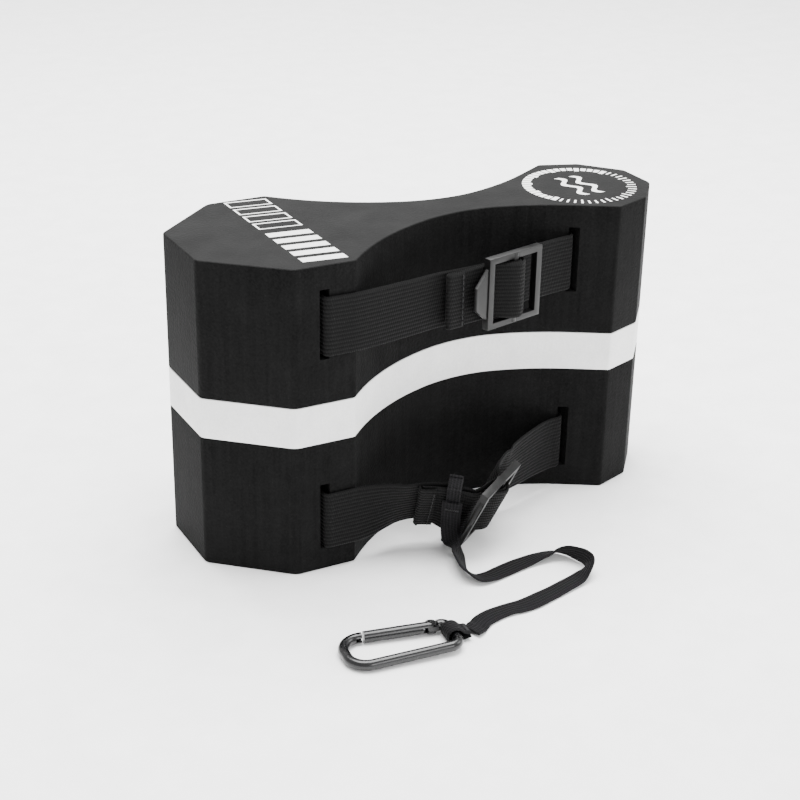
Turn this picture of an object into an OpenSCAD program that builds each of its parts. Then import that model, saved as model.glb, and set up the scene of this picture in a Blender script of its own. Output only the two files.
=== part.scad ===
// Adjustable pull buoy: a three-layer foam float that narrows at the waist, two elastic
// straps with tilting ladder-lock buckles, and a webbing leash that ends in a carabiner.
//
// Frame: origin at the centre of the float's base, +X from the large lobe to the small one,
// -Y towards the side with the buckles, +Z up. The float stands on its base.

/* [Float] */
// Height of the whole float
foam_h = 160; // [150:1:165]
// Thickness of the pale middle layer
centre_h = 20.8; // [18:0.4:24]
// Height of the middle layer's lower face
centre_z = 69.2; // [66:0.4:72]
// Length along X
foam_l = 261; // [255:1:265]
// Width of the large lobe
large_w = 105; // [103:1:107]
// Width of the small lobe
small_w = 79; // [78:0.5:80]
// Width of the waist at its narrowest
waist_w = 23.2; // [21:0.2:24]
// How far the rounds of the lobes' upright edges reach along the faces
edge_r = 2; // [1:0.5:3]

/* [Straps] */
// Width of the elastic webbing
strap_w = 30; // [28:0.5:31]
// Thickness of the elastic webbing
strap_t = 1.6; // [1.2:0.1:1.7]
// Height of the upper strap's middle
upper_z = 129.6; // [128:0.2:131]
// Height of the lower strap's middle
lower_z = 27; // [26:0.2:28]
// Width of the slots in the foam
slot_w = 5; // [4.8:0.1:5.4]
// Height of the slots in the foam
slot_h = 35; // [33.5:0.5:37]

/* [Buckles] */
// Length of the buckle's frame along the strap
buckle_l = 36; // [35:0.5:36.5]
// Width of the buckle's frame across the strap
buckle_w = 37; // [36:0.5:37.5]
// Thickness of the buckle's frame
buckle_t = 4; // [3.2:0.2:4]
// How far the thumb tab stands out
tab_l = 10.5; // [8:0.5:11]

/* [Leash] */
// Width of the leash webbing
leash_w = 10; // [9:0.5:10]
// Thickness of the leash webbing
leash_t = 1.2; // [1:0.1:1.3]

/* [Carabiner] */
// Thickness of the carabiner's rod
rod_d = 5; // [4.6:0.1:5]
// Diameter of the hinge pin
hinge_d = 2; // [1.6:0.1:2.2]

/* [Hidden] */

// Fit and clearance
gap = 0.2;          // between webbing layers and round the buckles' centre bars
pin_gap = 0.05;     // radial running clearance on the carabiner's hinge pin
floor_gap = 0.3;    // between the floor and whatever lies on it
arc_step = 3;       // degrees for one step of an arc
fine = 48;          // sides of a round part
tiny = 0.01;        // overrun of a cut past a face

// Float: the outline's corners on one side, each [x, y, how far its round reaches]
half_l = foam_l / 2;
half_large = large_w / 2;
half_small = small_w / 2;
half_waist = waist_w / 2;
FLOAT_SIDE = [
    [half_l, 12, edge_r], [half_l - 17, half_small - 7.2, edge_r / 2],
    [half_l - 37.5, half_small, edge_r / 2], [57, half_waist + 6.9, 19.5],
    [29.5, half_waist, 8.5], [7, half_waist, 13.5], [-36.5, half_waist + 14.3, 31.8],
    [67 - half_l, half_large, edge_r / 2], [35.5 - half_l, half_large, edge_r * 1.5],
    [-half_l, 21.2, edge_r]
];
large_slot_x = -79.6;
small_slot_x = 73.3;

// Buckle: bars and tab, in its own frame
bar_d = 5;          // centre bar
end_bar = 3.5;      // width of the two end bars
rail = 3;           // width of the two side rails
tab_t = 1.8;        // thickness of the thumb tab
tab_root = 28;      // width of the tab where it joins the frame
tab_tip = 11.7;     // width of the tab's tip
tab_rise = 12;      // degrees that the tab bends outwards
turn_r = bar_d / 2 + gap + strap_t / 2;     // sewn end's middle, round the centre bar
over_r = turn_r + strap_t + gap;            // second layer's middle

// A placement is [point, along, down, out]: right angles between the last three
function unit(v) = v / norm(v);
function square_to(v, n) = unit(v - (v * n) * n);
function placed(point, along, down) =
    let (a = unit(along), d = square_to(down, a)) [point, a, d, cross(d, a)];
function at(p, s, w, n) = p[0] + s * p[1] + w * p[2] + n * p[3];

UPPER = placed([26.5, -45.5, upper_z], [0.972, 0.235, 0], [0, 0, -1]);
LOWER = placed([7.6, -62.2, lower_z - 6], [0.845, 0.525, 0.1], [-0.14, 0.42, -0.89]);

// Strap routes: rows of [point, width direction]. Through a buckle the route is the same
// for both straps, given along and out of the buckle's own frame.
MAIN_IN = [[-16, -5], [-8, -4.7], [-3, -4.1], [0, -turn_r]];
TURN = [[turn_r * 0.7, -turn_r * 0.7], [turn_r, 0], [turn_r * 0.7, turn_r * 0.7], [0, turn_r],
        [-2.8, 2.5], [-6, -0.3], [-8.5, -2.2], [-10.5, -2.95]];
THROUGH = [[24, -8.6], [17, -8], [13, -7.4], [9, -5.2], [6, -1.8], [over_r, 0.6],
           [over_r * 0.7, over_r * 0.7], [0, over_r], [-4, 3.7], [-7.5, 1], [-10.5, -1.15],
           [-14, -3.25], [-18, -3.5]];
// The lower strap folds back sharply beside its buckle
LOWER_IN = [[-14.5, -7], [-11.5, -5.5], [-8, -4.75], [-3, -4.1], [0, -turn_r]];
LOWER_THROUGH = [[24, -8.6], [17, -8], [13, -7.4], [9, -5.2], [6, -1.8], [over_r, 0.6],
                 [over_r * 0.7, over_r * 0.7], [0, over_r], [-4, 3.7], [-7.5, 1], [-10.5, -1.15],
                 [-13.5, -3.2], [-17, -5.4]];
UPPER_TAIL = [[-24, -3.9], [-31, -4.6], [-38.4, -5.4], [-39.3, -4.5], [-38.4, -3.6], [-34, -3.1],
              [-30.5, -2.8]];
function in_buckle(p, rows) = [for (r = rows) [at(p, r[0], 0, r[1]), p[2]]];
function level(z, rows) = [for (r = rows) [[r[0], r[1], z], [0, 0, -1]]];
function backwards(rows) = [for (i = [len(rows) - 1 : -1 : 0]) rows[i]];

// From the large lobe's slot round the back to the small lobe's slot
BEHIND = [
    [-75, -53.75], [-77.4, -53.7], [-79, -52.8], [-79.5, -50.5], [-79.6, -40], [-79.6, 0],
    [-79.6, 40], [-79.5, 50.5], [-79, 52.8], [-77.4, 53.7], [-75, 53.75], [-66, 53.75],
    [-62.5, 53.5], [-52, 51.6], [0, 41.8], [58, 30.9], [66, 29.3], [69.6, 28.6],
    [71.8, 27.8], [72.8, 26.2], [73.2, 22], [73.3, 0], [73.2, -22], [72.8, -26.2],
    [71.8, -27.8], [69.6, -28.6], [66, -28.9]
];
UPPER_LEFT = [[-4, -45.3], [-17, -46.1], [-28, -48.2], [-40, -50.2], [-52, -52.2], [-63, -53.6],
              [-68, -53.75]];
LOWER_LEFT = [
    [[-13.5, -63.3, 25], [-0.08, 0.42, -0.9]], [[-19.3, -60.5, 27.4], [0.04, 0.43, -0.89]],
    [[-28, -57.3, 28.4], [0.12, 0.43, -0.89]], [[-38, -55, 28.1], [0.1, 0.41, -0.9]],
    [[-46, -54.1, 27.8], [0, 0.26, -0.96]], [[-54, -53.8, 27.3], [0, 0.1, -1]],
    [[-62, -53.75, 27], [0, 0, -1]], [[-68, -53.75, 27], [0, 0, -1]]
];
LOWER_TAIL = [
    [[-14.8, -65.8, 23.8], [-0.08, 0.42, -0.9]], [[-20.8, -63.1, 26.3], [0.04, 0.43, -0.89]],
    [[-27.6, -59.6, 27.4], [0.12, 0.43, -0.89]], [[-30.6, -58.7, 27.5], [0.12, 0.43, -0.89]],
    [[-31.6, -59.2, 27.2], [0.12, 0.43, -0.89]], [[-31.1, -60.4, 26.8], [0.12, 0.43, -0.89]],
    [[-28.2, -61.4, 26.5], [0.12, 0.43, -0.89]], [[-24.5, -63, 26.3], [0.12, 0.43, -0.89]]
];
LOWER_RIGHT = [
    [[30, -42.6, 26], [-0.05, 0.2, -0.97]], [[40, -38.4, 26.4], [0, 0.1, -0.99]],
    [[52, -33.4, 26.9], [0, 0.04, -1]], [[60, -30.4, 27], [0, 0, -1]]
];
UPPER_STRAP = concat(
    backwards(in_buckle(UPPER, TURN)), backwards(in_buckle(UPPER, MAIN_IN)),
    level(upper_z, UPPER_LEFT), level(upper_z, BEHIND),
    level(upper_z, [[58, -30.2], [52, -31.4]]),
    in_buckle(UPPER, THROUGH), in_buckle(UPPER, UPPER_TAIL));
LOWER_STRAP = concat(
    backwards(in_buckle(LOWER, TURN)), backwards(in_buckle(LOWER, LOWER_IN)),
    LOWER_LEFT, level(lower_z, BEHIND), backwards(LOWER_RIGHT),
    in_buckle(LOWER, LOWER_THROUGH), LOWER_TAIL);

// Leash: a loop sewn round the lower strap, the free run, and a loop round the carabiner
LOOP = placed([-14.7, -65, 27.4], [0.8, -0.57, -0.1], [0.2, 0.43, -0.88]);
loop_w = 7;         // the loop's webbing bunches up where it goes round the strap
// Corners [down, out] of the loop's inside, which holds two slack layers of strap
LOOP_IN = [[-15.2, -4.6], [22.2, -2.3], [22.2, 7.2], [-15.2, 3]];
// How far out the leash's middle lies on the loop's face, at w down it
function on_face(w) =
    let (top = LOOP_IN[3], foot = LOOP_IN[2])
    top[1] + (w - top[0]) * (foot[1] - top[1]) / (foot[0] - top[0]) + 1.5 * leash_t + 0.27;
LEASH_HANGS = [
    [at(LOOP, 0, -9, on_face(-9)), [0.81, -0.57, -0.1]],
    [at(LOOP, 0, -2, on_face(-2)), [0.81, -0.57, -0.1]],
    [at(LOOP, 0.3, 5, on_face(5)), [0.83, -0.54, -0.1]],
    [at(LOOP, 0.9, 11.5, 9.2), [0.88, -0.36, -0.1]],
    [at(LOOP, 2.4, 16.4, 12), [0.88, -0.1, -0.3]]
];
// Where it lies on the floor: [x, y, width direction]
LEASH_LIES = [
    [-15.8, -73.2, [0.75, 0.1, -0.65]], [-18, -78, [0.65, -0.25, -0.72]],
    [-20.8, -85.5, [0.6, 0.1, -0.75]], [-21.4, -92.5, [0.5, 0.5, -0.6]],
    [-17.4, -97, [0.4, 0.9, -0.25]], [-11, -97, [0.3, 0.96, -0.05]], [-4, -95.6, [0.2, 0.97, 0.02]],
    [5, -93.8, [0.13, 0.99, 0.03]], [13, -92.6, [0.2, 0.98, -0.07]], [20.5, -92.4, [0.35, 0.91, -0.24]],
    [27, -93.2, [0.45, 0.78, -0.42]], [31.4, -96.2, [0.42, 0.55, -0.7]],
    [34.4, -100.8, [0.25, 0.35, -0.9]], [36.6, -105.8, [0.08, 0.4, -0.9]],
    [37.2, -110.2, [0, 0.5, -0.85]], [35.8, -113.8, [0, 0.7, -0.7]],
    [32, -116.4, [0.3, 0.8, -0.4]], [26, -118.6, [0.33, 0.94, -0.1]], [17, -121, [0.27, 0.96, -0.04]],
    [9.5, -123.1, [0.27, 0.96, 0]], [2, -125.2, [0.31, 0.95, 0.05]],
    [-5, -127, [0.34, 0.93, 0.07]], [-11.5, -127.5, [0.39, 0.91, 0.04]],
    [-17, -127, [0.4, 0.9, -0.03]], [-22.5, -127.2, [0.35, 0.93, 0]],
    [-28.5, -128.4, [0.3, 0.94, 0.04]], [-34.5, -130.4, [0.27, 0.96, 0.04]]
];
LEASH_ENDS = [
    [[-38.4, -133, 1.2], [0.1, 0.99, 0]], [[-41.4, -135.3, 1.8], [0.1, 0.99, 0]],
    [[-44.6, -136.6, 2.15], [0.1, 0.99, 0]]
];
function lying(rows) = [for (i = [0 : len(rows) - 1])
    let (
        a = row(rows, i - 1), b = row(rows, i + 1),
        w = square_to(unit(rows[i][2]), unit([b[0] - a[0], b[1] - a[1], 0])),
        z = leash_w / 2 * abs(w[2]) + leash_t / 2 * norm([w[0], w[1]]) + floor_gap
    ) [[rows[i][0], rows[i][1], z], w]];
LEASH_ROUTE = concat(LEASH_HANGS, lying(LEASH_LIES), LEASH_ENDS);

// Carabiner: lies on the floor with its narrow end in the leash's loop
hook_z = leash_t + 0.2 + rod_d / 2;
HOOK = [-54.6, -136.8, hook_z];
hook_turn = -5.8;   // degrees about Z
hook_tip = -1.3;    // degrees that the wide end dips
HOOK_ROD = [
    [-40.5, 12.4, 0], [-52.2, 14.4, 9.5], [-52.2, -10, 9], [0, -10, 5], [0, 8.6, 3.2], [-4.2, 8.8, 0]
];
NOSE = [HOOK_ROD[0][0], HOOK_ROD[0][1]];
GATE_PIN = [-7.6, 8.4];
gate_turn = atan2(NOSE[1] - GATE_PIN[1], NOSE[0] - GATE_PIN[0]);
gate_l = norm(NOSE - GATE_PIN) - 0.9;
gate_d = 5.6;
gate_bore = 3;
nose_pin_d = 1.6;

// ---- helpers ----

// One corner [x, y, r] of a path, as the points of its round
function corner(a, b, c) =
    let (
        p = [b[0], b[1]], u = unit([a[0], a[1]] - p), v = unit([c[0], c[1]] - p),
        half = acos(u * v) / 2, reach = b[2] / tan(half),
        from = p + u * reach, centre = p + unit(u + v) * (b[2] / sin(half)),
        side = sign(cross(u, v)), sweep = (180 - 2 * half) * side,
        start = atan2(from[1] - centre[1], from[0] - centre[0]),
        steps = max(1, ceil(abs(sweep) / arc_step))
    )
    b[2] == 0 ? [p] : [for (i = [0 : steps]) centre + b[2] * [
        cos(start - sweep * i / steps), sin(start - sweep * i / steps)]];
function radius(a, b, c) =
    let (p = [b[0], b[1]], u = unit([a[0], a[1]] - p), v = unit([c[0], c[1]] - p))
    [b[0], b[1], b[2] * tan(acos(u * v) / 2)];
function loop_of(rows) =
    let (
        n = len(rows),
        q = [for (i = [0 : n - 1]) radius(rows[(i + n - 1) % n], rows[i], rows[(i + 1) % n])]
    )
    [for (i = [0 : n - 1]) each corner(q[(i + n - 1) % n], q[i], q[(i + 1) % n])];

// A smooth curve through the rows, with k steps between each two
function between(a, b, c, d, t) =
    0.5 * (2 * b + (c - a) * t + (2 * a - 5 * b + 4 * c - d) * t * t
        + (3 * b - a - 3 * c + d) * t * t * t);
function row(rows, i) = rows[max(0, min(len(rows) - 1, i))];
function smooth(rows, k) = [
    for (i = [0 : len(rows) - 2], j = [0 : i == len(rows) - 2 ? k : k - 1])
    [for (m = [0, 1]) between(row(rows, i - 1)[m], row(rows, i)[m], row(rows, i + 1)[m],
        row(rows, i + 2)[m], j / k)]];

// Webbing swept along rows of [point, width direction]; section is [across, through] points
module webbing(rows, section) {
    n = len(rows);
    m = len(section);
    points = [for (i = [0 : n - 1])
        let (
            along = unit(row(rows, i + 1)[0] - row(rows, i - 1)[0]),
            across = square_to(rows[i][1], along), through = cross(across, along)
        )
        for (q = section) rows[i][0] + q[0] * across + q[1] * through];
    sides = [for (i = [0 : n - 2], j = [0 : m - 1])
        let (a = i * m + j, b = i * m + (j + 1) % m) each [[a, b, a + m], [b, b + m, a + m]]];
    end = (n - 1) * m;
    ends = [for (j = [1 : m - 2]) each [[0, j + 1, j], [end, end + j, end + j + 1]]];
    polyhedron(points, concat(sides, ends), convexity = 10);
}
function flat_section(w, t) = [[-w / 2, -t / 2], [w / 2, -t / 2], [w / 2, t / 2], [-w / 2, t / 2]];
function soft_section(w, t) = let (e = w / 2 - t / 2) [
    [-e, -t / 2], [e, -t / 2], [w / 2, -t / 4], [w / 2, t / 4],
    [e, t / 2], [-e, t / 2], [-w / 2, t / 4], [-w / 2, -t / 4]];

// Puts children from a placement's own axes (along, up, out) into the model
module on(p) {
    multmatrix([
        [p[1][0], -p[2][0], p[3][0], p[0][0]],
        [p[1][1], -p[2][1], p[3][1], p[0][1]],
        [p[1][2], -p[2][2], p[3][2], p[0][2]],
        [0, 0, 0, 1]
    ]) children();
}
module hook_frame() {
    translate(HOOK) rotate([0, 0, hook_turn]) rotate([0, hook_tip, 0]) children();
}

// ---- float ----

module foam_layer(z, h) {
    side = [for (q = FLOAT_SIDE) [q[0], -q[1], q[2]]];
    outline = loop_of(concat(FLOAT_SIDE, backwards(side)));
    difference() {
        translate([0, 0, z]) linear_extrude(h) polygon(outline);
        for (x = [large_slot_x, small_slot_x], m = [lower_z + 2.5, upper_z + 0.9])
            translate([x - slot_w / 2, -large_w, m - slot_h / 2]) cube([slot_w, 2 * large_w, slot_h]);
    }
}
module lower_foam_block() {
    color("#222324") foam_layer(0, centre_z);
}
module centre_foam_layer() {
    color("#ececea") foam_layer(centre_z, centre_h);
}
module upper_foam_block() {
    top_z = centre_z + centre_h;
    color("#222324") foam_layer(top_z, foam_h - top_z);
}

// ---- straps ----

module strap(rows) {
    color("#161617") webbing(smooth(rows, 2), flat_section(strap_w, strap_t));
}
module upper_strap_webbing() { strap(UPPER_STRAP); }
module lower_strap_webbing() { strap(LOWER_STRAP); }

// Lock stitching through the layers of a strap: along, out, how long and the degrees it leans
thread = 0.25;
module seam(p, along, out, run, lean = 0) {
    color("#2a2a2c") on(p) translate([along, 0, out]) rotate([0, lean, 0])
        cube([thread, run, thread], center = true);
}
module end_seams(p) {
    for (s = [-8.8, -8]) seam(p, s, 0.75 * s + 5.4, strap_w - 6, -34);
}
module upper_strap_end_stitching() { end_seams(UPPER); }
module lower_strap_end_stitching() { end_seams(LOWER); }
module upper_strap_tail_stitching() { seam(UPPER, -32, -1.85, strap_w - 4); }
module lower_strap_tail_stitching() {
    seam(placed([-26.6, -63.3, 25.6], [0.9, -0.4, -0.1], [0.12, 0.43, -0.89]), 0, 0, strap_w - 4);
}

// ---- buckles ----

module bar_across(s, wide) {
    translate([s - wide / 2, -buckle_w / 2, -buckle_t / 2]) cube([wide, buckle_w, buckle_t]);
}
module buckle() {
    color("#121213") {
        for (s = [-1, 1]) {
            bar_across(s * (buckle_l - end_bar) / 2, end_bar);
            translate([-buckle_l / 2, s * (buckle_w - rail) / 2 - rail / 2, -buckle_t / 2])
                cube([buckle_l, rail, buckle_t]);
        }
        rotate([90, 0, 0]) cylinder(d = bar_d, h = buckle_w - 1, center = true, $fn = fine);
        translate([-buckle_l / 2 + 1, 0, 0]) rotate([0, tab_rise, 0]) translate([0, 0, -tab_t / 2])
            linear_extrude(tab_t) polygon([
                [0, -tab_root / 2], [-tab_l, -tab_tip / 2], [-tab_l, tab_tip / 2], [0, tab_root / 2]]);
    }
}
module upper_buckle() { on(UPPER) buckle(); }
module lower_buckle() { on(LOWER) buckle(); }

// ---- leash ----

// Band sewn round the lower strap
module leash_strap_loop() {
    inside = [for (q = LOOP_IN) [-q[1], -q[0]]];
    color("#151516") on(LOOP) rotate([0, 90, 0]) linear_extrude(loop_w, center = true) difference() {
        offset(delta = leash_t) polygon(inside);
        polygon(inside);
    }
}
module leash_webbing() {
    color("#151516") webbing(smooth(LEASH_ROUTE, 3), soft_section(leash_w, leash_t));
}
// Band round the carabiner's narrow end: flat under the rod, round over it, then sewn flat
LOOP_MIDDLE = [
    [8, -1.8], [3.4, -2.65], [0, -3.3], [-2.8, -2.5], [-3.6, 0], [-2.7, 2.4], [0, 3.5], [2.6, 2.6],
    [4.8, 0.7], [8, -0.2]
];
hold_y = 0.8;        // middle of the loop, along the carabiner's end bar
module leash_carabiner_loop() {
    rows = [for (q = LOOP_MIDDLE) [[q[0], hold_y, q[1]], [0, 1, 0]]];
    color("#151516") translate(HOOK) rotate([0, 0, hook_turn])
        webbing(smooth(rows, 3), flat_section(leash_w - 1, leash_t));
}
module leash_upper_bar_tack() {
    color("#1d1d1f") on(LOOP) translate([0, 4, on_face(-4) + leash_t / 2 + 0.45])
        cube([leash_w - 3, 2, 0.5], center = true);
}
module leash_lower_bar_tack() {
    color("#1d1d1f") translate(HOOK) rotate([0, 0, hook_turn]) translate([6.6, hold_y, 1.2])
        rotate([0, 16, 0]) cube([2, leash_w - 4, 0.5], center = true);
}

// ---- carabiner ----

module rod_between(a, b, d) {
    v = b - a;
    translate([a[0], a[1], 0]) rotate([0, 90, atan2(v[1], v[0])]) cylinder(d = d, h = norm(v), $fn = fine);
}
// A rod bent along rows of [x, y, round]
module bent_rod(rows, d) {
    for (i = [0 : len(rows) - 2]) {
        a = rows[i][2] == 0 ? [rows[i][0], rows[i][1]] : last_of(corner(rows[i - 1], rows[i], rows[i + 1]));
        b = rows[i + 1][2] == 0 ? [rows[i + 1][0], rows[i + 1][1]]
            : corner(rows[i], rows[i + 1], rows[i + 2])[0];
        rod_between(a, b, d);
    }
    for (i = [1 : len(rows) - 2]) bend(rows[i - 1], rows[i], rows[i + 1], d);
}
function last_of(list) = list[len(list) - 1];
module bend(a, b, c, d) {
    p = [b[0], b[1]];
    u = unit([a[0], a[1]] - p);
    v = unit([c[0], c[1]] - p);
    half = acos(u * v) / 2;
    centre = p + unit(u + v) * (b[2] / sin(half));
    from = p + u * (b[2] / tan(half)) - centre;
    to = p + v * (b[2] / tan(half)) - centre;
    start = cross(from, to) > 0 ? from : to;
    translate([centre[0], centre[1], 0]) rotate([0, 0, atan2(start[1], start[0])])
        rotate_extrude(angle = 180 - 2 * half, $fn = 2 * fine)
            translate([b[2], 0]) circle(d = d, $fn = fine);
}
// The ear at the hinge end: a flat tongue that the forked gate straddles
ear_t = 2.4;
module carabiner_body() {
    color("#17181a") hook_frame() difference() {
        union() {
            bent_rod(HOOK_ROD, rod_d);
            translate([GATE_PIN[0], GATE_PIN[1], 0])
                cylinder(d = rod_d, h = ear_t, center = true, $fn = fine);
            translate([GATE_PIN[0], GATE_PIN[1], 0]) rotate([0, 0, gate_turn + 180])
                translate([0, -rod_d / 2, -ear_t / 2]) cube([4.2, rod_d, ear_t]);
        }
        translate([GATE_PIN[0], GATE_PIN[1], 0])
            cylinder(r = hinge_d / 2 + pin_gap, h = rod_d, center = true, $fn = fine);
        nose_slot();
    }
}
module nose_slot() {
    translate([NOSE[0], NOSE[1], 0]) rotate([0, 0, gate_turn])
        translate([-1, -rod_d, -0.9]) cube([4, 2 * rod_d, 1.8]);
}
module carabiner_nose_pin() {
    color("#8c8f92") hook_frame() translate([NOSE[0], NOSE[1], 0]) rotate([0, 0, gate_turn])
        translate([1.6, 0, 0]) cylinder(d = nose_pin_d, h = rod_d, center = true, $fn = fine);
}
module gate_frame() {
    hook_frame() translate([GATE_PIN[0], GATE_PIN[1], 0]) rotate([0, 0, gate_turn]) children();
}
module carabiner_gate() {
    color("#1b1c1e") gate_frame() difference() {
        union() {
            rotate([0, 90, 0]) cylinder(d = gate_d, h = gate_l, $fn = fine);
            cylinder(d = gate_d, h = 4.6, center = true, $fn = fine);
        }
        translate([-4, -gate_d, -ear_t / 2 - 0.15]) cube([8, 2 * gate_d, ear_t + 0.3]);
        rotate([0, 90, 0]) translate([0, 0, 3]) cylinder(d = gate_bore, h = 19, $fn = fine);
        cylinder(r = hinge_d / 2 + pin_gap, h = 2 * rod_d, center = true, $fn = fine);
    }
}
module gate_hinge_pin() {
    color("#8c8f92") hook_frame() translate([GATE_PIN[0], GATE_PIN[1], 0])
        cylinder(d = hinge_d, h = 5, center = true, $fn = fine);
}
module gate_plunger() {
    color("#9a9da0") gate_frame() translate([3.2, 0, 0]) rotate([0, 90, 0])
        cylinder(d = gate_bore - 0.3, h = 6, $fn = fine);
}
module gate_spring() {
    color("#b4b7ba") gate_frame() translate([9.5, 0, 0]) rotate([0, 90, 0]) difference() {
        cylinder(d = gate_bore - 0.4, h = 12, $fn = fine);
        translate([0, 0, -tiny]) cylinder(d = gate_bore - 1.3, h = 12 + 2 * tiny, $fn = fine);
    }
}

upper_foam_block();
centre_foam_layer();
lower_foam_block();
upper_strap_webbing();
upper_strap_end_stitching();
upper_strap_tail_stitching();
upper_buckle();
lower_strap_webbing();
lower_strap_end_stitching();
lower_strap_tail_stitching();
lower_buckle();
leash_strap_loop();
leash_webbing();
leash_carabiner_loop();
leash_upper_bar_tack();
leash_lower_bar_tack();
carabiner_body();
carabiner_nose_pin();
carabiner_gate();
gate_hinge_pin();
gate_plunger();
gate_spring();
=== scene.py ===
"""A pull buoy of layered foam with two webbing straps, slide buckles, and a leash with a carabiner."""

import math
import random

import bmesh
import bpy
import numpy as np
from mathutils import Matrix, Vector

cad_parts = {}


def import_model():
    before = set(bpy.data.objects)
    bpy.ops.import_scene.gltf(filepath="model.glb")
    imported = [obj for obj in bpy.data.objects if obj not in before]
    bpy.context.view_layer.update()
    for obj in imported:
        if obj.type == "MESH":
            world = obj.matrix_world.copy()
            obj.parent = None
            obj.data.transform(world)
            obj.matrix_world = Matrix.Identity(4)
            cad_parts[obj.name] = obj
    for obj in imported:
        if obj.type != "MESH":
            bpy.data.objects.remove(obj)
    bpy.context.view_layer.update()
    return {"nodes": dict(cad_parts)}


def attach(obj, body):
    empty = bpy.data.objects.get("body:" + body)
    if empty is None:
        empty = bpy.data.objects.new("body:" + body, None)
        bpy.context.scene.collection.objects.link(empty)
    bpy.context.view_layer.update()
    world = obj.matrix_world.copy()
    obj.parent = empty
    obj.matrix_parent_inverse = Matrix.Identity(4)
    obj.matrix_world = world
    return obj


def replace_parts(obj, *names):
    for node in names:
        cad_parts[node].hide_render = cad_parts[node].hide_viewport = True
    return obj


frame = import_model()
MM = 0.001
rng = random.Random(7)


# ---- small helpers ----


def linear(text):
    """A screen colour such as 8a8a8a as linear red, green, blue and alpha."""
    c = [int(text[i : i + 2], 16) / 255 for i in (0, 2, 4)]
    return tuple(v / 12.92 if v <= 0.04045 else ((v + 0.055) / 1.055) ** 2.4 for v in c) + (1,)


def unit(v):
    v = np.asarray(v, float)
    return v / np.linalg.norm(v)


def square_to(v, n):
    v = np.asarray(v, float)
    return unit(v - (v @ n) * n)


def placed(point, along, down):
    """A placement: its point, and its axes along, down and out, at right angles."""
    a = unit(along)
    d = square_to(down, a)
    return np.asarray(point, float), a, d, np.cross(d, a)


def at(p, s, w, n):
    """The point at s along, w down and n out of a placement."""
    return p[0] + s * p[1] + w * p[2] + n * p[3]


def smooth(rows, steps):
    """Points and width directions along a smooth curve through the rows, in millimetres."""
    p = np.array([r[0] for r in rows], float)
    w = np.array([r[1] for r in rows], float)

    def curve(q):
        pad = np.vstack([q[:1], q, q[-1:]])
        out = []
        for i in range(len(q) - 1):
            a, b, c, d = pad[i : i + 4]
            for t in np.arange(steps) / steps:
                out.append(
                    0.5 * (2 * b + (c - a) * t + (2 * a - 5 * b + 4 * c - d) * t**2
                           + (3 * b - a - 3 * c + d) * t**3)
                )
        return np.array(out + [q[-1]])

    return curve(p), curve(w)


def new_object(name, mesh, material, body):
    """A piece that rides on a body and is made of a listed material."""
    obj = bpy.data.objects.new(name, mesh)
    bpy.context.scene.collection.objects.link(obj)
    for m in material if isinstance(material, (list, tuple)) else [material]:
        obj.data.materials.append(m)
    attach(obj, body)
    return obj


def ribbon(name, rows, width, thick, steps, across, material, body, rib=0.0, pitch=2.0,
           narrow=None):
    """Webbing swept along rows of (point, width direction), in millimetres, with ribs along it."""
    p, w = smooth(rows, steps)
    t = np.gradient(p, axis=0)
    t /= np.linalg.norm(t, axis=1)[:, None]
    a = w - (w * t).sum(1)[:, None] * t
    a /= np.linalg.norm(a, axis=1)[:, None]
    n = np.cross(a, t)
    run = np.concatenate([[0], np.cumsum(np.linalg.norm(np.diff(p, axis=0), axis=1))])
    v = np.linspace(-1, 1, across)
    edge = np.sqrt(np.clip(1 - np.abs(v) ** 14, 0, 1)) * 0.85 + 0.15
    ribs = rib * np.cos(math.pi * v * width / pitch)
    half = thick / 2 * edge + ribs * edge
    scale = np.ones(len(p)) if narrow is None else narrow(p, run)
    side = a[:, None] * (v * width / 2)[None, :, None] * scale[:, None, None]
    top = p[:, None] + side + n[:, None] * half[None, :, None]
    low = p[:, None] + side - n[:, None] * half[None, :, None]
    ring = np.concatenate([top, low[:, ::-1]], axis=1) * MM
    m = 2 * across
    verts = ring.reshape(-1, 3)
    faces, uvs = [], []
    vv = np.concatenate([v, v[::-1]]) * width / 2 * MM
    for i in range(len(p) - 1):
        for j in range(m):
            k = (j + 1) % m
            faces.append((i * m + j, i * m + k, (i + 1) * m + k, (i + 1) * m + j))
            uvs.append(((run[i] * MM, vv[j]), (run[i] * MM, vv[k]), (run[i + 1] * MM, vv[k]),
                        (run[i + 1] * MM, vv[j])))
    for i, turn in ((0, 1), (len(p) - 1, -1)):
        for j in range(across - 1):
            f = (i * m + j, i * m + m - 1 - j, i * m + m - 2 - j, i * m + j + 1)
            faces.append(f[::turn])
            uvs.append(tuple((run[i] * MM, vv[q - i * m]) for q in f[::turn]))
    mesh = bpy.data.meshes.new(name)
    mesh.from_pydata(verts.tolist(), [], faces)
    layer = mesh.uv_layers.new(name="UVMap")
    flat = [c for face in uvs for c in face]
    layer.data.foreach_set("uv", np.array(flat, float).ravel())
    mesh.polygons.foreach_set("use_smooth", [True] * len(mesh.polygons))
    bm = bmesh.new()
    bm.from_mesh(mesh)
    bmesh.ops.recalc_face_normals(bm, faces=bm.faces)
    for e in bm.edges:
        if len(e.link_faces) == 2 and e.calc_face_angle(0) > math.radians(50):
            e.smooth = False
    bm.to_mesh(mesh)
    bm.free()
    return new_object(name, mesh, material, body), p * MM


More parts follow.
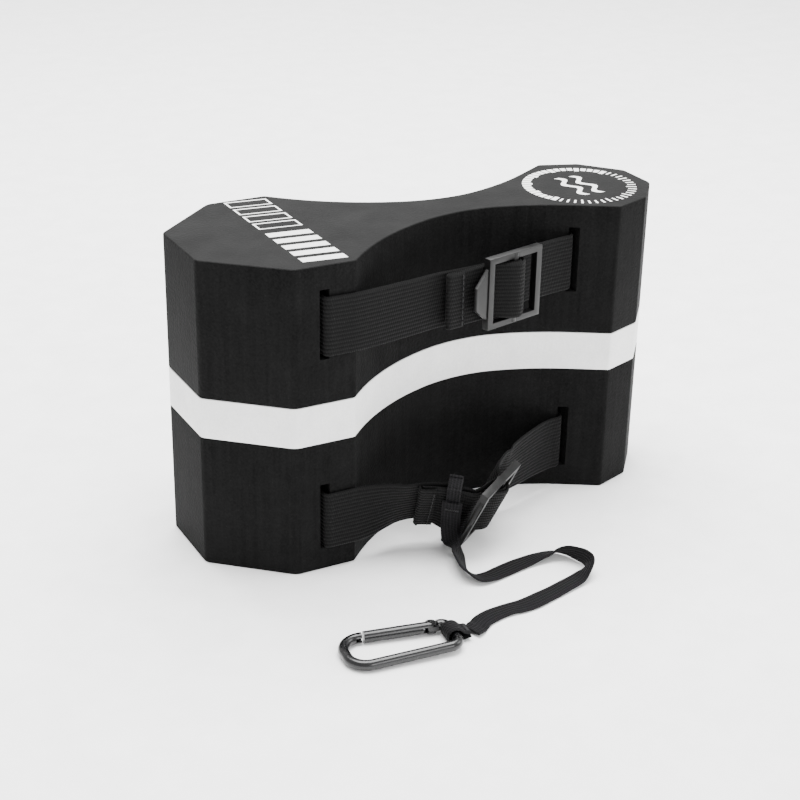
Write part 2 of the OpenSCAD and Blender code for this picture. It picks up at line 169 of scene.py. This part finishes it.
def softened(name, node, bevels, material, body, face_material=None):
    """A new piece from a CAD node's shape, with its sharp edges rounded.
    bevels is a list of (which edges, width in mm, segments)."""
    bm = bmesh.new()
    bm.from_mesh(frame["nodes"][node].data)
    bmesh.ops.remove_doubles(bm, verts=bm.verts, dist=1e-6)
    bmesh.ops.dissolve_limit(bm, angle_limit=math.radians(0.6), verts=bm.verts, edges=bm.edges)
    for which, size, segments in bevels:
        edges = [e for e in bm.edges
                 if len(e.link_faces) == 2 and e.calc_face_angle(0) > math.radians(32) and which(e)]
        bmesh.ops.bevel(bm, geom=edges, offset=size * MM, affect="EDGES", segments=segments,
                        profile=0.5, material=-1, clamp_overlap=True)
    bmesh.ops.triangulate(bm, faces=[f for f in bm.faces if len(f.verts) > 4])
    bmesh.ops.recalc_face_normals(bm, faces=bm.faces)
    for f in bm.faces:
        f.smooth = True
        f.material_index = face_material(f) if face_material else 0
    for e in bm.edges:
        e.smooth = not (len(e.link_faces) == 2 and e.calc_face_angle(0) > math.radians(28))
    mesh = bpy.data.meshes.new(name)
    bm.to_mesh(mesh)
    bm.free()
    obj = new_object(name, mesh, material, body)
    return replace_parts(obj, node)


def every_edge(e):
    """All of a piece's sharp edges."""
    return True


def thread(name, spans, radius, material, body, lift=0.6):
    """Stitches: each span (start, end, outward) in mm is one short arched tube of thread."""
    bm = bmesh.new()
    sides, rings = 6, 7
    for a, b, out in spans:
        a, b, out = (np.asarray(q, float) for q in (a, b, out))
        t = unit(b - a)
        o = square_to(out, t)
        s = np.cross(t, o)
        loops = []
        for i in range(rings):
            u = i / (rings - 1)
            r = radius * (0.35 + 0.65 * math.sin(math.pi * u) ** 0.5)
            c = a + (b - a) * u + o * radius * lift * math.sin(math.pi * u)
            loops.append([bm.verts.new(Vector((c + r * (math.cos(k) * o + math.sin(k) * s)) * MM))
                          for k in (2 * math.pi * j / sides for j in range(sides))])
        for x, y in zip(loops, loops[1:]):
            for j in range(sides):
                bm.faces.new((x[j], x[(j + 1) % sides], y[(j + 1) % sides], y[j]))
        bm.faces.new(loops[0][::-1])
        bm.faces.new(loops[-1])
    bmesh.ops.recalc_face_normals(bm, faces=bm.faces)
    for f in bm.faces:
        f.smooth = True
    mesh = bpy.data.meshes.new(name)
    bm.to_mesh(mesh)
    bm.free()
    return new_object(name, mesh, material, body)


# ---- materials ----


class Shader:
    """A material whose nodes are added one line at a time."""

    def __init__(self, name):
        self.material = bpy.data.materials.new(name)
        self.material.use_nodes = True
        self.tree = self.material.node_tree
        self.principled = self.tree.nodes["Principled BSDF"]

    def add(self, kind, inputs=None, **settings):
        made = self.tree.nodes.new("ShaderNode" + kind)
        for key, value in settings.items():
            setattr(made, key, value)
        for key, value in (inputs or {}).items():
            if isinstance(value, bpy.types.NodeSocket):
                self.tree.links.new(value, made.inputs[key])
            else:
                made.inputs[key].default_value = value
        return made

    def set(self, **inputs):
        for key, value in inputs.items():
            socket = self.principled.inputs[key.replace("_", " ")]
            if isinstance(value, bpy.types.NodeSocket):
                self.tree.links.new(value, socket)
            else:
                socket.default_value = value

    def noise(self, vector, scale, detail=4.0, roughness=0.6):
        return self.add("TexNoise", {"Vector": vector, "Scale": scale, "Detail": detail,
                                     "Roughness": roughness}).outputs["Fac"]

    def ramp(self, fac, stops):
        made = self.add("ValToRGB", {"Fac": fac})
        ramp = made.color_ramp
        ramp.elements[0].position, ramp.elements[0].color = stops[0]
        ramp.elements[1].position, ramp.elements[1].color = stops[-1]
        for position, color in stops[1:-1]:
            ramp.elements.new(position).color = color
        return made.outputs["Color"]

    def bump(self, height, strength, distance):
        return self.add("Bump", {"Height": height, "Strength": strength,
                                 "Distance": distance}).outputs["Normal"]


def foam(name, dark, light, grain, streaks, roughness, bump):
    """Closed-cell EVA foam: fine cells as speckle and bump, and faint upright knife streaks."""
    s = Shader(name)
    where = s.add("TexCoord").outputs["Object"]
    cells = s.noise(where, 900, 3)
    cloud = s.noise(where, 60, 4)
    stretched = s.add("Mapping", {"Vector": where, "Scale": (420, 420, 16)}).outputs["Vector"]
    knife = s.noise(stretched, 1.0, 3)
    pores = s.add("TexVoronoi", {"Vector": where, "Scale": 700.0}).outputs["Distance"]
    mixed = s.add("Math", {0: cells, 1: grain}, operation="MULTIPLY").outputs[0]
    mixed = s.add("Math", {0: knife, 1: streaks, 2: mixed}, operation="MULTIPLY_ADD").outputs[0]
    mixed = s.add("Math", {0: cloud, 1: 1 - grain - streaks, 2: mixed},
                  operation="MULTIPLY_ADD").outputs[0]
    s.set(Base_Color=s.ramp(mixed, [(0.36, linear(dark)), (0.66, linear(light))]))
    height = s.add("Math", {0: pores, 1: cells}, operation="ADD").outputs[0]
    s.set(Normal=s.bump(height, bump, 0.0004), Roughness=roughness)
    s.set(Specular_IOR_Level=0.07)
    return s.material


def webbing(name, dark, light, pick, end, roughness=0.72):
    """Woven webbing: warp ridges run along it, and picks cross it. UV is in metres."""
    s = Shader(name)
    uv = s.add("UVMap", uv_map="UVMap").outputs["UV"]
    parts = s.add("SeparateXYZ", {"Vector": uv})
    along = s.add("Math", {0: parts.outputs["X"], 1: 2 * math.pi / pick}, operation="MULTIPLY")
    over = s.add("Math", {0: parts.outputs["Y"], 1: 2 * math.pi / end}, operation="MULTIPLY")
    shifted = s.add("Math", {0: over.outputs[0], 1: 0.5}, operation="MULTIPLY")
    lean = s.add("Math", {0: along.outputs[0], 1: shifted.outputs[0]}, operation="ADD")
    picks = s.add("Math", {0: lean.outputs[0]}, operation="SINE").outputs[0]
    ends = s.add("Math", {0: over.outputs[0]}, operation="COSINE").outputs[0]
    weave = s.add("Math", {0: picks, 1: 0.5, 2: ends}, operation="MULTIPLY_ADD").outputs[0]
    fuzz = s.noise(s.add("TexCoord").outputs["Object"], 1600, 3)
    height = s.add("Math", {0: fuzz, 1: 1.2, 2: weave}, operation="MULTIPLY_ADD").outputs[0]
    tone = s.add("MapRange", {"Value": height, "From Min": -1.2, "From Max": 2.4}).outputs[0]
    s.set(Base_Color=s.ramp(tone, [(0.2, linear(dark)), (0.85, linear(light))]))
    s.set(Normal=s.bump(height, 0.55, 0.00018), Roughness=roughness, Sheen_Weight=0.02)
    s.set(Specular_IOR_Level=0.1)
    return s.material


def plastic(name, dark, light, low, high):
    """Moulded acetal: smooth and glossy, with soft flow marks and handling haze."""
    s = Shader(name)
    where = s.add("TexCoord").outputs["Object"]
    haze = s.noise(where, 220, 4)
    s.set(Base_Color=s.ramp(haze, [(0.35, linear(dark)), (0.7, linear(light))]))
    rough = s.add("MapRange", {"Value": haze, "From Min": 0.3, "From Max": 0.7, "To Min": low,
                               "To Max": high}).outputs[0]
    s.set(Roughness=rough, Normal=s.bump(s.noise(where, 1500, 2), 0.12, 0.0001))
    s.set(Specular_IOR_Level=0.3)
    return s.material


def metal(name, dark, light, low, high, metallic, coat):
    """Metal with a fine drawn grain and slightly uneven gloss."""
    s = Shader(name)
    where = s.add("TexCoord").outputs["Object"]
    drawn = s.add("Mapping", {"Vector": where, "Scale": (60, 900, 900)}).outputs["Vector"]
    grain = s.noise(drawn, 1.0, 3)
    s.set(Base_Color=s.ramp(grain, [(0.3, linear(dark)), (0.7, linear(light))]))
    rough = s.add("MapRange", {"Value": s.noise(where, 260, 3), "From Min": 0.3, "From Max": 0.7,
                               "To Min": low, "To Max": high}).outputs[0]
    s.set(Roughness=rough, Metallic=metallic, Coat_Weight=coat, Coat_Roughness=0.12)
    s.set(Normal=s.bump(grain, 0.08, 0.00008))
    return s.material


def ink(name, tone, worn):
    """Screen-printed ink, a little thin over the foam's cells."""
    s = Shader(name)
    where = s.add("TexCoord").outputs["Object"]
    cells = s.noise(where, 1100, 3)
    s.set(Base_Color=s.ramp(cells, [(0.28, linear(worn)), (0.42, linear(tone))]))
    s.set(Roughness=0.6, Normal=s.bump(cells, 0.2, 0.0002))
    return s.material


black_side = foam("black_eva_foam_cut", "030303", "131313", 0.45, 0.3, 0.75, 0.35)
black_skin = foam("black_eva_foam_skin", "0f0f0f", "1a1a1a", 0.4, 0.0, 0.6, 0.18)
white_side = foam("white_eva_foam_cut", "e2e2e1", "f4f4f3", 0.4, 0.1, 0.7, 0.2)
strap_cloth = webbing("black_ribbed_webbing", "020202", "0e0e0e", 0.0011, 0.002)
leash_cloth = webbing("black_flat_webbing", "030304", "121113", 0.0012, 0.0016)
thread_black = plastic("black_sewing_thread", "0c0c0d", "1e1e20", 0.5, 0.65)
gloss_black = plastic("black_acetal", "020202", "070707", 0.3, 0.45)
anodised = metal("black_anodised_aluminium", "020203", "08080a", 0.2, 0.34, 0.3, 0.25)
steel = metal("plain_steel", "7d7f82", "b4b6b8", 0.25, 0.4, 1.0, 0.0)
white_ink = ink("white_print", "e4e4e2", "8c8c8b")

# ---- placements, the same as the model's, in millimetres ----

STRAP_W, STRAP_T = 30, 1.6
LEASH_W, LEASH_T = 10, 1.2
UPPER_Z, LOWER_Z = 129.6, 27
TURN_R, OVER_R = 3.5, 5.3
UPPER = placed([26.5, -45.5, UPPER_Z], [0.972, 0.235, 0], [0, 0, -1])
LOWER = placed([7.6, -62.2, LOWER_Z - 6], [0.845, 0.525, 0.1], [-0.14, 0.42, -0.89])
LOOP = placed([-14.7, -65, 27.4], [0.8, -0.57, -0.1], [0.2, 0.43, -0.88])
# Corners (down, out) of the inside of the loop round the strap
LOOP_IN = [(-15.2, -4.6), (22.2, -2.3), (22.2, 7.2), (-15.2, 3)]
HOLD_Y = 0.8
HOOK = np.array([-54.6, -136.8, 3.9])
HOOK_TURN = math.radians(-5.8)

MAIN_IN = [(-16, -5), (-8, -4.7), (-3, -4.1), (0, -TURN_R)]
TURN = [(TURN_R * 0.7, -TURN_R * 0.7), (TURN_R, 0), (TURN_R * 0.7, TURN_R * 0.7), (0, TURN_R),
        (-2.8, 2.5), (-6, -0.3), (-8.5, -2.2), (-10.5, -2.95)]
THROUGH = [(24, -8.6), (17, -8), (13, -7.4), (9, -5.2), (6, -1.8), (OVER_R, 0.6),
           (OVER_R * 0.7, OVER_R * 0.7), (0, OVER_R), (-4, 3.7), (-7.5, 1), (-10.5, -1.15),
           (-14, -3.25), (-18, -3.5)]
LOWER_IN = [(-14.5, -7), (-11.5, -5.5), (-8, -4.75), (-3, -4.1), (0, -TURN_R)]
LOWER_THROUGH = THROUGH[:9] + [(-7.5, 1), (-10.5, -1.15), (-13.5, -3.2), (-17, -5.4)]
UPPER_TAIL = [(-24, -3.9), (-31, -4.6), (-38.4, -5.4), (-39.3, -4.5), (-38.4, -3.6), (-34, -3.1),
              (-30.5, -2.8)]
BEHIND = [
    (-75, -53.75), (-77.4, -53.7), (-79, -52.8), (-79.5, -50.5), (-79.6, -40), (-79.6, 0),
    (-79.6, 40), (-79.5, 50.5), (-79, 52.8), (-77.4, 53.7), (-75, 53.75), (-66, 53.75),
    (-62.5, 53.5), (-52, 51.6), (0, 41.8), (58, 30.9), (66, 29.3), (69.6, 28.6),
    (71.8, 27.8), (72.8, 26.2), (73.2, 22), (73.3, 0), (73.2, -22), (72.8, -26.2),
    (71.8, -27.8), (69.6, -28.6), (66, -28.9),
]
UPPER_LEFT = [(-4, -45.3), (-17, -46.1), (-28, -48.2), (-40, -50.2), (-52, -52.2), (-63, -53.6),
              (-68, -53.75)]
LOWER_LEFT = [
    ((-13.5, -63.3, 25), (-0.08, 0.42, -0.9)), ((-19.3, -60.5, 27.4), (0.04, 0.43, -0.89)),
    ((-28, -57.3, 28.4), (0.12, 0.43, -0.89)), ((-38, -55, 28.1), (0.1, 0.41, -0.9)),
    ((-46, -54.1, 27.8), (0, 0.26, -0.96)), ((-54, -53.8, 27.3), (0, 0.1, -1)),
    ((-62, -53.75, 27), (0, 0, -1)), ((-68, -53.75, 27), (0, 0, -1)),
]
LOWER_TAIL = [
    ((-14.8, -65.8, 23.8), (-0.08, 0.42, -0.9)), ((-20.8, -63.1, 26.3), (0.04, 0.43, -0.89)),
    ((-27.6, -59.6, 27.4), (0.12, 0.43, -0.89)), ((-30.6, -58.7, 27.5), (0.12, 0.43, -0.89)),
    ((-31.6, -59.2, 27.2), (0.12, 0.43, -0.89)), ((-31.1, -60.4, 26.8), (0.12, 0.43, -0.89)),
    ((-28.2, -61.4, 26.5), (0.12, 0.43, -0.89)), ((-24.5, -63, 26.3), (0.12, 0.43, -0.89)),
]
LOWER_RIGHT = [
    ((30, -42.6, 26), (-0.05, 0.2, -0.97)), ((40, -38.4, 26.4), (0, 0.1, -0.99)),
    ((52, -33.4, 26.9), (0, 0.04, -1)), ((60, -30.4, 27), (0, 0, -1)),
]
LEASH_LIES = [
    (-15.8, -73.2, (0.75, 0.1, -0.65)), (-18, -78, (0.65, -0.25, -0.72)),
    (-20.8, -85.5, (0.6, 0.1, -0.75)), (-21.4, -92.5, (0.5, 0.5, -0.6)),
    (-17.4, -97, (0.4, 0.9, -0.25)), (-11, -97, (0.3, 0.96, -0.05)), (-4, -95.6, (0.2, 0.97, 0.02)),
    (5, -93.8, (0.13, 0.99, 0.03)), (13, -92.6, (0.2, 0.98, -0.07)), (20.5, -92.4, (0.35, 0.91, -0.24)),
    (27, -93.2, (0.45, 0.78, -0.42)), (31.4, -96.2, (0.42, 0.55, -0.7)),
    (34.4, -100.8, (0.25, 0.35, -0.9)), (36.6, -105.8, (0.08, 0.4, -0.9)),
    (37.2, -110.2, (0, 0.5, -0.85)), (35.8, -113.8, (0, 0.7, -0.7)),
    (32, -116.4, (0.3, 0.8, -0.4)), (26, -118.6, (0.33, 0.94, -0.1)), (17, -121, (0.27, 0.96, -0.04)),
    (9.5, -123.1, (0.27, 0.96, 0)), (2, -125.2, (0.31, 0.95, 0.05)),
    (-5, -127, (0.34, 0.93, 0.07)), (-11.5, -127.5, (0.39, 0.91, 0.04)),
    (-17, -127, (0.4, 0.9, -0.03)), (-22.5, -127.2, (0.35, 0.93, 0)),
    (-28.5, -128.4, (0.3, 0.94, 0.04)), (-34.5, -130.4, (0.27, 0.96, 0.04)),
]
LEASH_ENDS = [((-38.4, -133, 1.2), (0.1, 0.99, 0)), ((-41.4, -135.3, 1.8), (0.1, 0.99, 0)),
              ((-44.6, -136.6, 2.15), (0.1, 0.99, 0))]
LOOP_MIDDLE = [(8, -1.8), (3.4, -2.65), (0, -3.3), (-2.8, -2.5), (-3.6, 0), (-2.7, 2.4), (0, 3.5),
               (2.6, 2.6), (4.8, 0.7), (8, -0.2)]


def in_buckle(p, rows):
    """Rows given along and out of a buckle's frame, with the width direction down it."""
    return [(at(p, s, 0, n), p[2]) for s, n in rows]


def level(z, rows):
    """Rows given in plan, with the webbing upright at height z."""
    return [((x, y, z), (0, 0, -1)) for x, y in rows]


def lying(rows):
    """Rows on the floor: the width direction squared to the path, and the height it asks for."""
    out = []
    for i, (x, y, w) in enumerate(rows):
        a, b = rows[max(i - 1, 0)], rows[min(i + 1, len(rows) - 1)]
        w = square_to(unit(w), unit([b[0] - a[0], b[1] - a[1], 0]))
        z = LEASH_W / 2 * abs(w[2]) + LEASH_T / 2 * math.hypot(w[0], w[1]) + 0.3
        out.append(((x, y, z), w))
    return out


UPPER_STRAP = (in_buckle(UPPER, TURN)[::-1] + in_buckle(UPPER, MAIN_IN)[::-1]
               + level(UPPER_Z, UPPER_LEFT) + level(UPPER_Z, BEHIND)
               + level(UPPER_Z, [(58, -30.2), (52, -31.4)])
               + in_buckle(UPPER, THROUGH) + in_buckle(UPPER, UPPER_TAIL))
LOWER_STRAP = (in_buckle(LOWER, TURN)[::-1] + in_buckle(LOWER, LOWER_IN)[::-1] + LOWER_LEFT
               + level(LOWER_Z, BEHIND) + LOWER_RIGHT[::-1] + in_buckle(LOWER, LOWER_THROUGH) + LOWER_TAIL)


def on_face(w):
    """How far out the leash's middle lies on the loop's face, at w down it."""
    top, foot = LOOP_IN[3], LOOP_IN[2]
    return top[1] + (w - top[0]) * (foot[1] - top[1]) / (foot[0] - top[0]) + 1.5 * LEASH_T + 0.27


LEASH_HANGS = [
    (at(LOOP, 0, -9, on_face(-9)), (0.81, -0.57, -0.1)),
    (at(LOOP, 0, -2, on_face(-2)), (0.81, -0.57, -0.1)),
    (at(LOOP, 0.3, 5, on_face(5)), (0.83, -0.54, -0.1)),
    (at(LOOP, 0.9, 11.5, 9.2), (0.88, -0.36, -0.1)),
    (at(LOOP, 2.4, 16.4, 12), (0.88, -0.1, -0.3)),
]
LEASH = LEASH_HANGS + lying(LEASH_LIES) + LEASH_ENDS

# ---- float ----


def rim(e):
    """The top and bottom edges round the foam's outline, not those of the strap slots."""
    a, b = (v.co for v in e.verts)
    return abs(a.z - b.z) < 1e-5 and not in_slot(a) and not in_slot(b)


def in_slot(p):
    """Whether a point is on the mouth or wall of one of the strap slots."""
    return any(abs(p.x / MM - x) < 2.6 and any(low - 0.1 < p.z / MM < low + 35.1 for low in (12, 113))
               for x in (-79.6, 73.3))


def skin_or_side(f):
    """Cut sides take the first material, and the smooth skin on top and below the second."""
    return 0 if abs(f.normal.z) < 0.6 else 1


upper_block = softened("upper_foam", "upper_foam_block", [(rim, 0.9, 3)], (black_side, black_skin),
                       "float", skin_or_side)
centre_layer = softened("centre_foam", "centre_foam_layer", [(rim, 0.5, 2)], white_side, "float")
lower_block = softened("lower_foam", "lower_foam_block", [(rim, 0.9, 3)], (black_side, black_skin),
                       "float", skin_or_side)

# ---- printed marks on the top: slanted blocks, solid and outlined, and a ring of ticks round two waves ----

TOP = 160    # height of the foam
INK = 0.07   # how far the print stands above it


def slab(bm, outline, hole=None):
    """A flat print on the foam's top: an outline in mm, and optionally one inside it left bare."""
    z = TOP + INK

    def ring(points):
        return [bm.verts.new(Vector((x, y, z)) * MM) for x, y in points]

    a = ring(outline)
    if hole is None:
        bm.faces.new(a)
        return
    b, n = ring(hole), len(a)
    for i in range(n):
        bm.faces.new((a[i], a[(i + 1) % n], b[(i + 1) % n], b[i]))


def slanted(x, y, w, h, lean):
    """A block w by h whose far side is shifted by lean."""
    return [(x - w / 2, y - h / 2 + lean), (x + w / 2, y - h / 2), (x + w / 2, y + h / 2),
            (x - w / 2, y + h / 2 + lean)]


def print_object(name, draw):
    """One thin printed mark, drawn by a function that adds its flat faces."""
    bm = bmesh.new()
    draw(bm)
    bmesh.ops.recalc_face_normals(bm, faces=bm.faces)
    for f in bm.faces:
        if f.normal.z < 0:
            f.normal_flip()
    solid = bmesh.ops.extrude_face_region(bm, geom=bm.faces[:])
    moved = [v for v in solid["geom"] if isinstance(v, bmesh.types.BMVert)]
    bmesh.ops.translate(bm, verts=moved, vec=(0, 0, -0.06 * MM))
    bmesh.ops.recalc_face_normals(bm, faces=bm.faces)
    mesh = bpy.data.meshes.new(name)
    bm.to_mesh(mesh)
    bm.free()
    return new_object(name, mesh, white_ink, "float")


def wide_mark(bm):
    """Five solid and four outlined blocks in a row across the wide end."""
    for k in range(5):
        y = -45 + 9.4 * k
        slab(bm, [(-87, y), (-65, y - 2.5), (-65, y + 3.2), (-87, y + 5.7)])
    for y in (8, 20, 32, 44):
        slab(bm, slanted(-76, y - 1, 22, 9, 2.5), hole=slanted(-76, y - 1, 20, 7, 2.3))


def round_mark(bm):
    """A ring of ticks, heavier on one half, round two waves."""
    cx, cy = 93, -1
    for k in range(48):
        t = 2 * math.pi * k / 48
        far = 25 <= math.degrees(t) % 360 <= 215
        size = math.radians(2.9 if far else 1.1)
        inner, outer = (25.6, 30) if k % 4 else (24.6, 30)
        slab(bm, [(cx + r * math.cos(t + s), cy + r * math.sin(t + s))
                  for r, s in ((inner, -size), (outer, -size), (outer, size), (inner, size))])
    for dy in (-4.6, 4.6):
        steps = 24
        upper = [(-15 + 30 * i / steps, 2.4 * math.sin(2 * math.pi * i / 12)) for i in range(steps + 1)]
        for (x0, y0), (x1, y1) in zip(upper, upper[1:]):
            slab(bm, [(cx - (y0 + dy + 1.6), cy + x0), (cx - (y0 + dy - 1.6), cy + x0),
                      (cx - (y1 + dy - 1.6), cy + x1), (cx - (y1 + dy + 1.6), cy + x1)])


print_object("top_print_wide_end", wide_mark)
print_object("top_print_narrow_end", round_mark)

# ---- straps ----


def drawn_in(p, run):
    """The elastic draws in a little between the lobes, where nothing holds its width."""
    free = np.clip((p[:, 0] + 75) / 144, 0, 1)
    return 1 - 0.045 * np.sin(math.pi * free) ** 2 * (np.abs(p[:, 1]) > 25)


upper_strap, _ = ribbon("upper_strap", UPPER_STRAP, STRAP_W, STRAP_T - 0.2, 6, 61, strap_cloth, "float",
                        rib=0.09, narrow=drawn_in)
lower_strap, _ = ribbon("lower_strap", LOWER_STRAP, STRAP_W, STRAP_T - 0.2, 6, 61, strap_cloth, "float",
                        rib=0.09)
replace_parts(upper_strap, "upper_strap_webbing")
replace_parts(lower_strap, "lower_strap_webbing")


def seam(p, s, n, run, pitch=3.0, gap=0.5):
    """Spans of lock stitch down a frame, run mm long, at s along it and n out of it."""
    count = int(run // pitch)
    start = -count * pitch / 2
    return [(at(p, s + rng.uniform(-0.08, 0.08), start + pitch * k + gap / 2, n),
             at(p, s + rng.uniform(-0.08, 0.08), start + pitch * (k + 1) - gap / 2, n), p[3])
            for k in range(count)]


END_SEAMS = ((-8.8, -1.2), (-8, -0.6))    # along and out of the buckle's frame
TAIL_SEAM = placed([-26.6, -63.3, 25.6], [0.9, -0.4, -0.1], [0.12, 0.43, -0.89])
for label, p in (("upper", UPPER), ("lower", LOWER)):
    spans = [span for s, n in END_SEAMS for span in seam(p, s, n, STRAP_W - 5)]
    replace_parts(thread(label + "_strap_end_thread", spans, 0.3, thread_black, "float"),
                label + "_strap_end_stitching")
    spans = (seam(UPPER, -32, -1.85, STRAP_W - 3) if label == "upper"
             else seam(TAIL_SEAM, 0, 0, STRAP_W - 3))
    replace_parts(thread(label + "_strap_tail_thread", spans, 0.3, thread_black, "float"),
                label + "_strap_tail_stitching")

# ---- buckles ----

softened("upper_slide_buckle", "upper_buckle", [(every_edge, 0.55, 3)], gloss_black, "upper_buckle")
softened("lower_slide_buckle", "lower_buckle", [(every_edge, 0.55, 3)], gloss_black, "lower_buckle")

# ---- leash ----


def band_round(corners, out, r):
    """A band's middle line round the inside corners (w, n), which ends over its own start."""
    ring = []
    for i, q in enumerate(corners):
        q, a, b = (np.array(v, float) for v in (q, corners[i - 1], corners[(i + 1) % len(corners)]))
        u, v = unit(a - q), unit(b - q)
        q = q - unit(u + v) * out * 1.4
        ring += [tuple(q + u * r), tuple(q + (u + v) * r * 0.3), tuple(q + v * r)]
    first, last = np.array(ring[0]), np.array(ring[-1])
    start = last + (first - last) * 0.3
    over = np.array([0, -1.35])
    return [tuple(start)] + ring[:-1] + [tuple(last), tuple(last + (first - last) * 0.15 + over * 0.6),
                                         tuple(start + over), tuple(last + (first - last) * 0.5 + over)]


band = [(at(LOOP, 0, w, n), LOOP[1]) for w, n in band_round(LOOP_IN, LEASH_T / 2, 2)]
strap_loop, _ = ribbon("leash_loop_round_strap", band, 7, LEASH_T, 6, 15, leash_cloth, "float",
                       rib=0.05, pitch=1.6)
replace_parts(strap_loop, "leash_strap_loop")
leash, leash_path = ribbon("leash", LEASH, LEASH_W, LEASH_T, 8, 21, leash_cloth, "float",
                           rib=0.05, pitch=1.6)
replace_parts(leash, "leash_webbing")

turn = np.array([[math.cos(HOOK_TURN), -math.sin(HOOK_TURN), 0],
                 [math.sin(HOOK_TURN), math.cos(HOOK_TURN), 0], [0, 0, 1]])


def from_hook(x, y, z):
    """A point given in the carabiner's own axes."""
    return HOOK + turn @ np.array([x, y, z])


small_loop = [(from_hook(x, HOLD_Y, z), turn @ np.array([0, 1, 0])) for x, z in LOOP_MIDDLE]
hook_loop, _ = ribbon("leash_loop_round_carabiner", small_loop, LEASH_W - 1, LEASH_T, 10, 19, leash_cloth,
                      "float", rib=0.05, pitch=1.6)
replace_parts(hook_loop, "leash_carabiner_loop")


def zigzag(centre, long, wide, out, length, width, rows):
    """A bar tack: close zigzag stitches across a short bar."""
    spans = []
    for k in range(rows):
        u = (k + 0.5) / rows - 0.5
        side = 1 if k % 2 else -1
        a = centre + long * length * u - wide * width / 2 * side
        b = centre + long * length * (u + 0.8 / rows) + wide * width / 2 * side
        spans.append((a, b, out))
    return spans


upper_tack = zigzag(at(LOOP, 0, -4, on_face(-4) + LEASH_T / 2 + 0.05), LOOP[1], LOOP[2], LOOP[3], 7, 1.6, 13)
lower_tack = zigzag(from_hook(6.6, HOLD_Y, 0.95), turn @ np.array([0, 1, 0]), turn @ np.array([1, 0, 0]),
                    np.array([0, 0, 1]), 6.5, 1.6, 13)
upper_bar = thread("leash_upper_tack", upper_tack, 0.25, thread_black, "float")
lower_bar = thread("leash_lower_tack", lower_tack, 0.25, thread_black, "float")
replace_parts(upper_bar, "leash_upper_bar_tack")
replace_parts(lower_bar, "leash_lower_bar_tack")

# ---- carabiner ----

for node, material in (("carabiner_body", anodised), ("carabiner_gate", anodised),
                       ("carabiner_nose_pin", anodised), ("gate_hinge_pin", anodised),
                       ("gate_plunger", steel), ("gate_spring", steel)):
    mesh = frame["nodes"][node].data
    for i in range(len(mesh.materials)):
        mesh.materials[i] = material

# ---- studio ----


def camera():
    """Looks down at about 25 degrees on the buckle side, from the wide end's left."""
    yaw, pitch, roll = (math.radians(v) for v in (61.69, 24.91, 1.0635))
    forward = Vector((math.cos(pitch) * math.cos(yaw), math.cos(pitch) * math.sin(yaw), -math.sin(pitch)))
    right = Vector((math.sin(yaw), -math.cos(yaw), 0))
    up = right.cross(forward)
    x = math.cos(roll) * right + math.sin(roll) * up
    y = -math.sin(roll) * right + math.cos(roll) * up
    data = bpy.data.cameras.new("camera")
    data.lens, data.sensor_width, data.clip_start = 75.7, 36, 0.01
    obj = bpy.data.objects.new("camera", data)
    bpy.context.scene.collection.objects.link(obj)
    obj.matrix_world = Matrix.Translation((-0.39063, -0.70492, 0.42811)) @ Matrix(
        (x, y, -forward)).transposed().to_4x4()
    bpy.context.scene.camera = obj


def softbox(name, place, target, size, power):
    """A square soft light that faces its target."""
    data = bpy.data.lights.new(name, "AREA")
    data.shape, data.size, data.energy = "SQUARE", size, power
    obj = bpy.data.objects.new(name, data)
    bpy.context.scene.collection.objects.link(obj)
    away = Vector(place) - Vector(target)
    obj.matrix_world = Matrix.Translation(place) @ away.to_track_quat("Z", "Y").to_matrix().to_4x4()


def floor():
    """A plain white floor."""
    mesh = bpy.data.meshes.new("floor")
    size = 6
    mesh.from_pydata([(-size, -size, 0), (size, -size, 0), (size, size, 0), (-size, size, 0)], [],
                     [(0, 1, 2, 3)])
    s = Shader("white_paper")
    where = s.add("TexCoord").outputs["Object"]
    s.set(Base_Color=s.ramp(s.noise(where, 40, 2), [(0.3, linear("f4f4f4")), (0.7, linear("fbfbfb"))]))
    s.set(Roughness=0.9, Specular_IOR_Level=0.1)
    obj = bpy.data.objects.new("floor", mesh)
    bpy.context.scene.collection.objects.link(obj)
    obj.data.materials.append(s.material)


def world():
    """Even white light from all round."""
    made = bpy.data.worlds.new("studio")
    made.use_nodes = True
    back = made.node_tree.nodes["Background"]
    back.inputs["Color"].default_value = (1, 1, 1, 1)
    back.inputs["Strength"].default_value = 1.3
    bpy.context.scene.world = made


camera()
floor()
world()
softbox("overhead_light", (0.1, 0.4, 1.7), (0, 0, 0.1), 1.6, 130)
softbox("front_light", (0.2, -1.7, 0.9), (0, -0.05, 0.08), 0.8, 14)
softbox("right_light", (1.3, -0.5, 0.9), (0.02, -0.05, 0.06), 0.7, 9)
